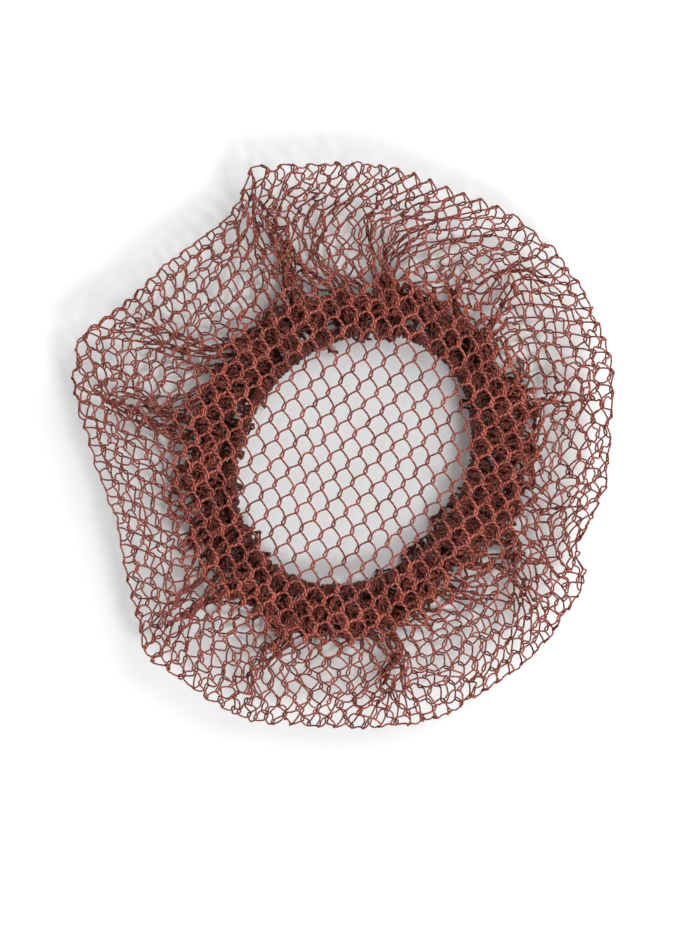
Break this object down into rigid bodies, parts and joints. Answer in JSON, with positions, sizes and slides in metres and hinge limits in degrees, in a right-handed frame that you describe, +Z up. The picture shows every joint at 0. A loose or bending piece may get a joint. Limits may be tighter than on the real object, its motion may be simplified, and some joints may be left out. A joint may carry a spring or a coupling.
{
  "type": "bun cover",
  "caption": "Round pouch of hexagonal knitted net, gathered on an elastic cord round its mouth, worn over a hair bun. It lies flat, crown up.",
  "frame": {"origin": "on the surface that the cover rests on, below the centre of its outline's box", "axes": "+Z up from the mouth to the crown; +X and +Y are right and up in the view from above"},
  "size_m": [0.1176, 0.1223, 0.0132],
  "materials": {
    "net_yarn": "terracotta polyamide yarn, soft sheen",
    "elastic": "covered round elastic, matt"
  },
  "bodies": {
    "root": {"net": "net_yarn", "elastic_cord": "elastic"}
  },
  "joints": []
}
